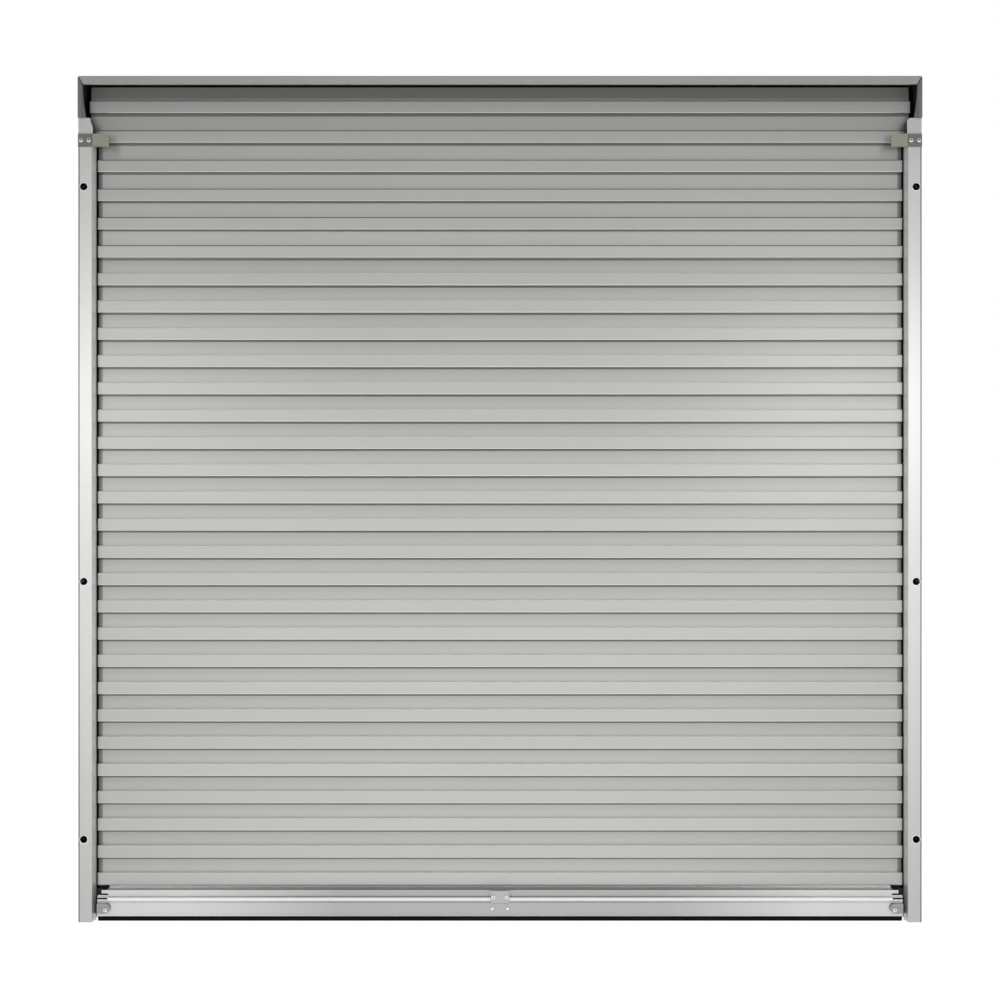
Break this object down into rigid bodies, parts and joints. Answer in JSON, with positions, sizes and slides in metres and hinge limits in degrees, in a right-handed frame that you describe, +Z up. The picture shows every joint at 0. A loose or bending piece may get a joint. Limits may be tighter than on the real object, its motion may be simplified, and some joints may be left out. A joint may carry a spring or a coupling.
{
  "type": "roller shutter",
  "caption": "Aluminium roller shutter: ribbed interlocked slats in slim guide rails, with a sealed bottom rail, stop brackets and a spring drum in a headbox.",
  "frame": {"origin": "middle of the shutter's width and depth, on the sill under the guide rails", "axes": "+X along the slats to the right seen from the slatted face, +Y towards the headbox's back, +Z up the rails"},
  "size_m": [1.2, 0.189, 1.2035],
  "materials": {
    "slat": "satin anodised",
    "rail": "satin anodised",
    "bare": "mill finish",
    "zinc": "zinc plated",
    "screw": "zinc plated",
    "steel": "satin",
    "black_plastic": "matt black",
    "rubber": "matt black"
  },
  "bodies": {
    "frame": {"rail_left": "rail", "rail_right": "rail", "rail_seals": "rubber", "inlet_left": "rail", "inlet_right": "rail", "stop_bracket_left": "zinc", "stop_bracket_right": "zinc", "frame_screws": "screw", "side_plate_left": "black_plastic", "side_plate_right": "black_plastic", "side_lip_left": "rail", "side_lip_right": "rail", "header": "rail", "back_cover": "rail", "axle": "steel", "drum_bearings": "steel", "torsion_spring": "steel", "spring_anchor": "black_plastic"},
    "bottom": {"bottom_rail": "bare", "bottom_seal": "rubber", "stop_block_left": "bare", "stop_block_right": "bare", "block_screws": "screw", "centre_plate": "bare", "centre_fasteners": "screw"},
    "drum": {"drum_tube": "steel", "drum_disc_left": "black_plastic", "drum_disc_right": "black_plastic", "spring_plug": "black_plastic"},
    "slat_01": {"slat_01": "slat", "hanger_straps": "steel"},
    "slat_02": {"slat_02": "slat"},
    "slat_03": {"slat_03": "slat"},
    "slat_04": {"slat_04": "slat"},
    "slat_05": {"slat_05": "slat"},
    "slat_06": {"slat_06": "slat"},
    "slat_07": {"slat_07": "slat"},
    "slat_08": {"slat_08": "slat"},
    "slat_09": {"slat_09": "slat"},
    "slat_10": {"slat_10": "slat"},
    "slat_11": {"slat_11": "slat"},
    "slat_12": {"slat_12": "slat"},
    "slat_13": {"slat_13": "slat"},
    "slat_14": {"slat_14": "slat"},
    "slat_15": {"slat_15": "slat"},
    "slat_16": {"slat_16": "slat"},
    "slat_17": {"slat_17": "slat"},
    "slat_18": {"slat_18": "slat"},
    "slat_19": {"slat_19": "slat"},
    "slat_20": {"slat_20": "slat"},
    "slat_21": {"slat_21": "slat"},
    "slat_22": {"slat_22": "slat"},
    "slat_23": {"slat_23": "slat"},
    "slat_24": {"slat_24": "slat"},
    "slat_25": {"slat_25": "slat"},
    "slat_26": {"slat_26": "slat"},
    "slat_27": {"slat_27": "slat"},
    "slat_28": {"slat_28": "slat"},
    "slat_29": {"slat_29": "slat"}
  },
  "joints": [
    {"name": "curtain_lift", "type": "slide", "parent": "frame", "child": "bottom", "axis": [0, 0, 1], "range_m": [0, 1.0759], "deforming": ["slat_01", "slat_02", "slat_03", "slat_04", "slat_05", "slat_06", "slat_07", "slat_08", "slat_09", "slat_10", "slat_11", "slat_12", "slat_13", "slat_14", "slat_15", "slat_16", "slat_17", "slat_18", "slat_19", "slat_20", "slat_21", "slat_22", "slat_23", "slat_24", "slat_25", "slat_26", "slat_27", "slat_28", "slat_29", "hanger_straps"]},
    {"name": "drum_spin", "type": "hinge", "parent": "frame", "child": "drum", "pos_m": [0, 0.01827, 1.12725], "axis": [-1, 0, 0], "range_deg": [0, 1215]},
    {"name": "slat_01_slide", "type": "slide", "parent": "frame", "child": "slat_01", "axis": [0, 0, 1], "range_m": [0, 0.0012]},
    {"name": "slat_02_slide", "type": "slide", "parent": "frame", "child": "slat_02", "axis": [0, 0, 1], "range_m": [0, 0.04273]},
    {"name": "slat_03_slide", "type": "slide", "parent": "frame", "child": "slat_03", "axis": [0, 0, 1], "range_m": [0, 0.08367]},
    {"name": "slat_04_slide", "type": "slide", "parent": "frame", "child": "slat_04", "axis": [0, 0, 1], "range_m": [0, 0.124]},
    {"name": "slat_05_slide", "type": "slide", "parent": "frame", "child": "slat_05", "axis": [0, 0, 1], "range_m": [0, 0.16373]},
    {"name": "slat_06_slide", "type": "slide", "parent": "frame", "child": "slat_06", "axis": [0, 0, 1], "range_m": [0, 0.20286]},
    {"name": "slat_07_slide", "type": "slide", "parent": "frame", "child": "slat_07", "axis": [0, 0, 1], "range_m": [0, 0.24139]},
    {"name": "slat_08_slide", "type": "slide", "parent": "frame", "child": "slat_08", "axis": [0, 0, 1], "range_m": [0, 0.27933]},
    {"name": "slat_09_slide", "type": "slide", "parent": "frame", "child": "slat_09", "axis": [0, 0, 1], "range_m": [0, 0.31726]},
    {"name": "slat_10_slide", "type": "slide", "parent": "frame", "child": "slat_10", "axis": [0, 0, 1], "range_m": [0, 0.35519]},
    {"name": "slat_11_slide", "type": "slide", "parent": "frame", "child": "slat_11", "axis": [0, 0, 1], "range_m": [0, 0.39312]},
    {"name": "slat_12_slide", "type": "slide", "parent": "frame", "child": "slat_12", "axis": [0, 0, 1], "range_m": [0, 0.43106]},
    {"name": "slat_13_slide", "type": "slide", "parent": "frame", "child": "slat_13", "axis": [0, 0, 1], "range_m": [0, 0.46899]},
    {"name": "slat_14_slide", "type": "slide", "parent": "frame", "child": "slat_14", "axis": [0, 0, 1], "range_m": [0, 0.50692]},
    {"name": "slat_15_slide", "type": "slide", "parent": "frame", "child": "slat_15", "axis": [0, 0, 1], "range_m": [0, 0.54485]},
    {"name": "slat_16_slide", "type": "slide", "parent": "frame", "child": "slat_16", "axis": [0, 0, 1], "range_m": [0, 0.58278]},
    {"name": "slat_17_slide", "type": "slide", "parent": "frame", "child": "slat_17", "axis": [0, 0, 1], "range_m": [0, 0.62072]},
    {"name": "slat_18_slide", "type": "slide", "parent": "frame", "child": "slat_18", "axis": [0, 0, 1], "range_m": [0, 0.65865]},
    {"name": "slat_19_slide", "type": "slide", "parent": "frame", "child": "slat_19", "axis": [0, 0, 1], "range_m": [0, 0.69658]},
    {"name": "slat_20_slide", "type": "slide", "parent": "frame", "child": "slat_20", "axis": [0, 0, 1], "range_m": [0, 0.73451]},
    {"name": "slat_21_slide", "type": "slide", "parent": "frame", "child": "slat_21", "axis": [0, 0, 1], "range_m": [0, 0.77244]},
    {"name": "slat_22_slide", "type": "slide", "parent": "frame", "child": "slat_22", "axis": [0, 0, 1], "range_m": [0, 0.81038]},
    {"name": "slat_23_slide", "type": "slide", "parent": "frame", "child": "slat_23", "axis": [0, 0, 1], "range_m": [0, 0.84831]},
    {"name": "slat_24_slide", "type": "slide", "parent": "frame", "child": "slat_24", "axis": [0, 0, 1], "range_m": [0, 0.88624]},
    {"name": "slat_25_slide", "type": "slide", "parent": "frame", "child": "slat_25", "axis": [0, 0, 1], "range_m": [0, 0.92417]},
    {"name": "slat_26_slide", "type": "slide", "parent": "frame", "child": "slat_26", "axis": [0, 0, 1], "range_m": [0, 0.9621]},
    {"name": "slat_27_slide", "type": "slide", "parent": "frame", "child": "slat_27", "axis": [0, 0, 1], "range_m": [0, 1.00004]},
    {"name": "slat_28_slide", "type": "slide", "parent": "frame", "child": "slat_28", "axis": [0, 0, 1], "range_m": [0, 1.03797]},
    {"name": "slat_29_slide", "type": "slide", "parent": "frame", "child": "slat_29", "axis": [0, 0, 1], "range_m": [0, 1.0759]}
  ],
  "couplings": [
    {"joint": "drum_spin", "follows": "curtain_lift", "rad_per_m": 19.608},
    {"joint": "slat_01_slide", "follows": "curtain_lift", "ratio": 0.001115},
    {"joint": "slat_02_slide", "follows": "curtain_lift", "ratio": 0.039718},
    {"joint": "slat_03_slide", "follows": "curtain_lift", "ratio": 0.077762},
    {"joint": "slat_04_slide", "follows": "curtain_lift", "ratio": 0.11525},
    {"joint": "slat_05_slide", "follows": "curtain_lift", "ratio": 0.15218},
    {"joint": "slat_06_slide", "follows": "curtain_lift", "ratio": 0.18855},
    {"joint": "slat_07_slide", "follows": "curtain_lift", "ratio": 0.22436},
    {"joint": "slat_08_slide", "follows": "curtain_lift", "ratio": 0.25962},
    {"joint": "slat_09_slide", "follows": "curtain_lift", "ratio": 0.29488},
    {"joint": "slat_10_slide", "follows": "curtain_lift", "ratio": 0.33013},
    {"joint": "slat_11_slide", "follows": "curtain_lift", "ratio": 0.36539},
    {"joint": "slat_12_slide", "follows": "curtain_lift", "ratio": 0.40064},
    {"joint": "slat_13_slide", "follows": "curtain_lift", "ratio": 0.4359},
    {"joint": "slat_14_slide", "follows": "curtain_lift", "ratio": 0.47116},
    {"joint": "slat_15_slide", "follows": "curtain_lift", "ratio": 0.50641},
    {"joint": "slat_16_slide", "follows": "curtain_lift", "ratio": 0.54167},
    {"joint": "slat_17_slide", "follows": "curtain_lift", "ratio": 0.57693},
    {"joint": "slat_18_slide", "follows": "curtain_lift", "ratio": 0.61218},
    {"joint": "slat_19_slide", "follows": "curtain_lift", "ratio": 0.64744},
    {"joint": "slat_20_slide", "follows": "curtain_lift", "ratio": 0.68269},
    {"joint": "slat_21_slide", "follows": "curtain_lift", "ratio": 0.71795},
    {"joint": "slat_22_slide", "follows": "curtain_lift", "ratio": 0.75321},
    {"joint": "slat_23_slide", "follows": "curtain_lift", "ratio": 0.78846},
    {"joint": "slat_24_slide", "follows": "curtain_lift", "ratio": 0.82372},
    {"joint": "slat_25_slide", "follows": "curtain_lift", "ratio": 0.85898},
    {"joint": "slat_26_slide", "follows": "curtain_lift", "ratio": 0.89423},
    {"joint": "slat_27_slide", "follows": "curtain_lift", "ratio": 0.92949},
    {"joint": "slat_28_slide", "follows": "curtain_lift", "ratio": 0.96474},
    {"joint": "slat_29_slide", "follows": "curtain_lift", "ratio": 1}
  ]
}
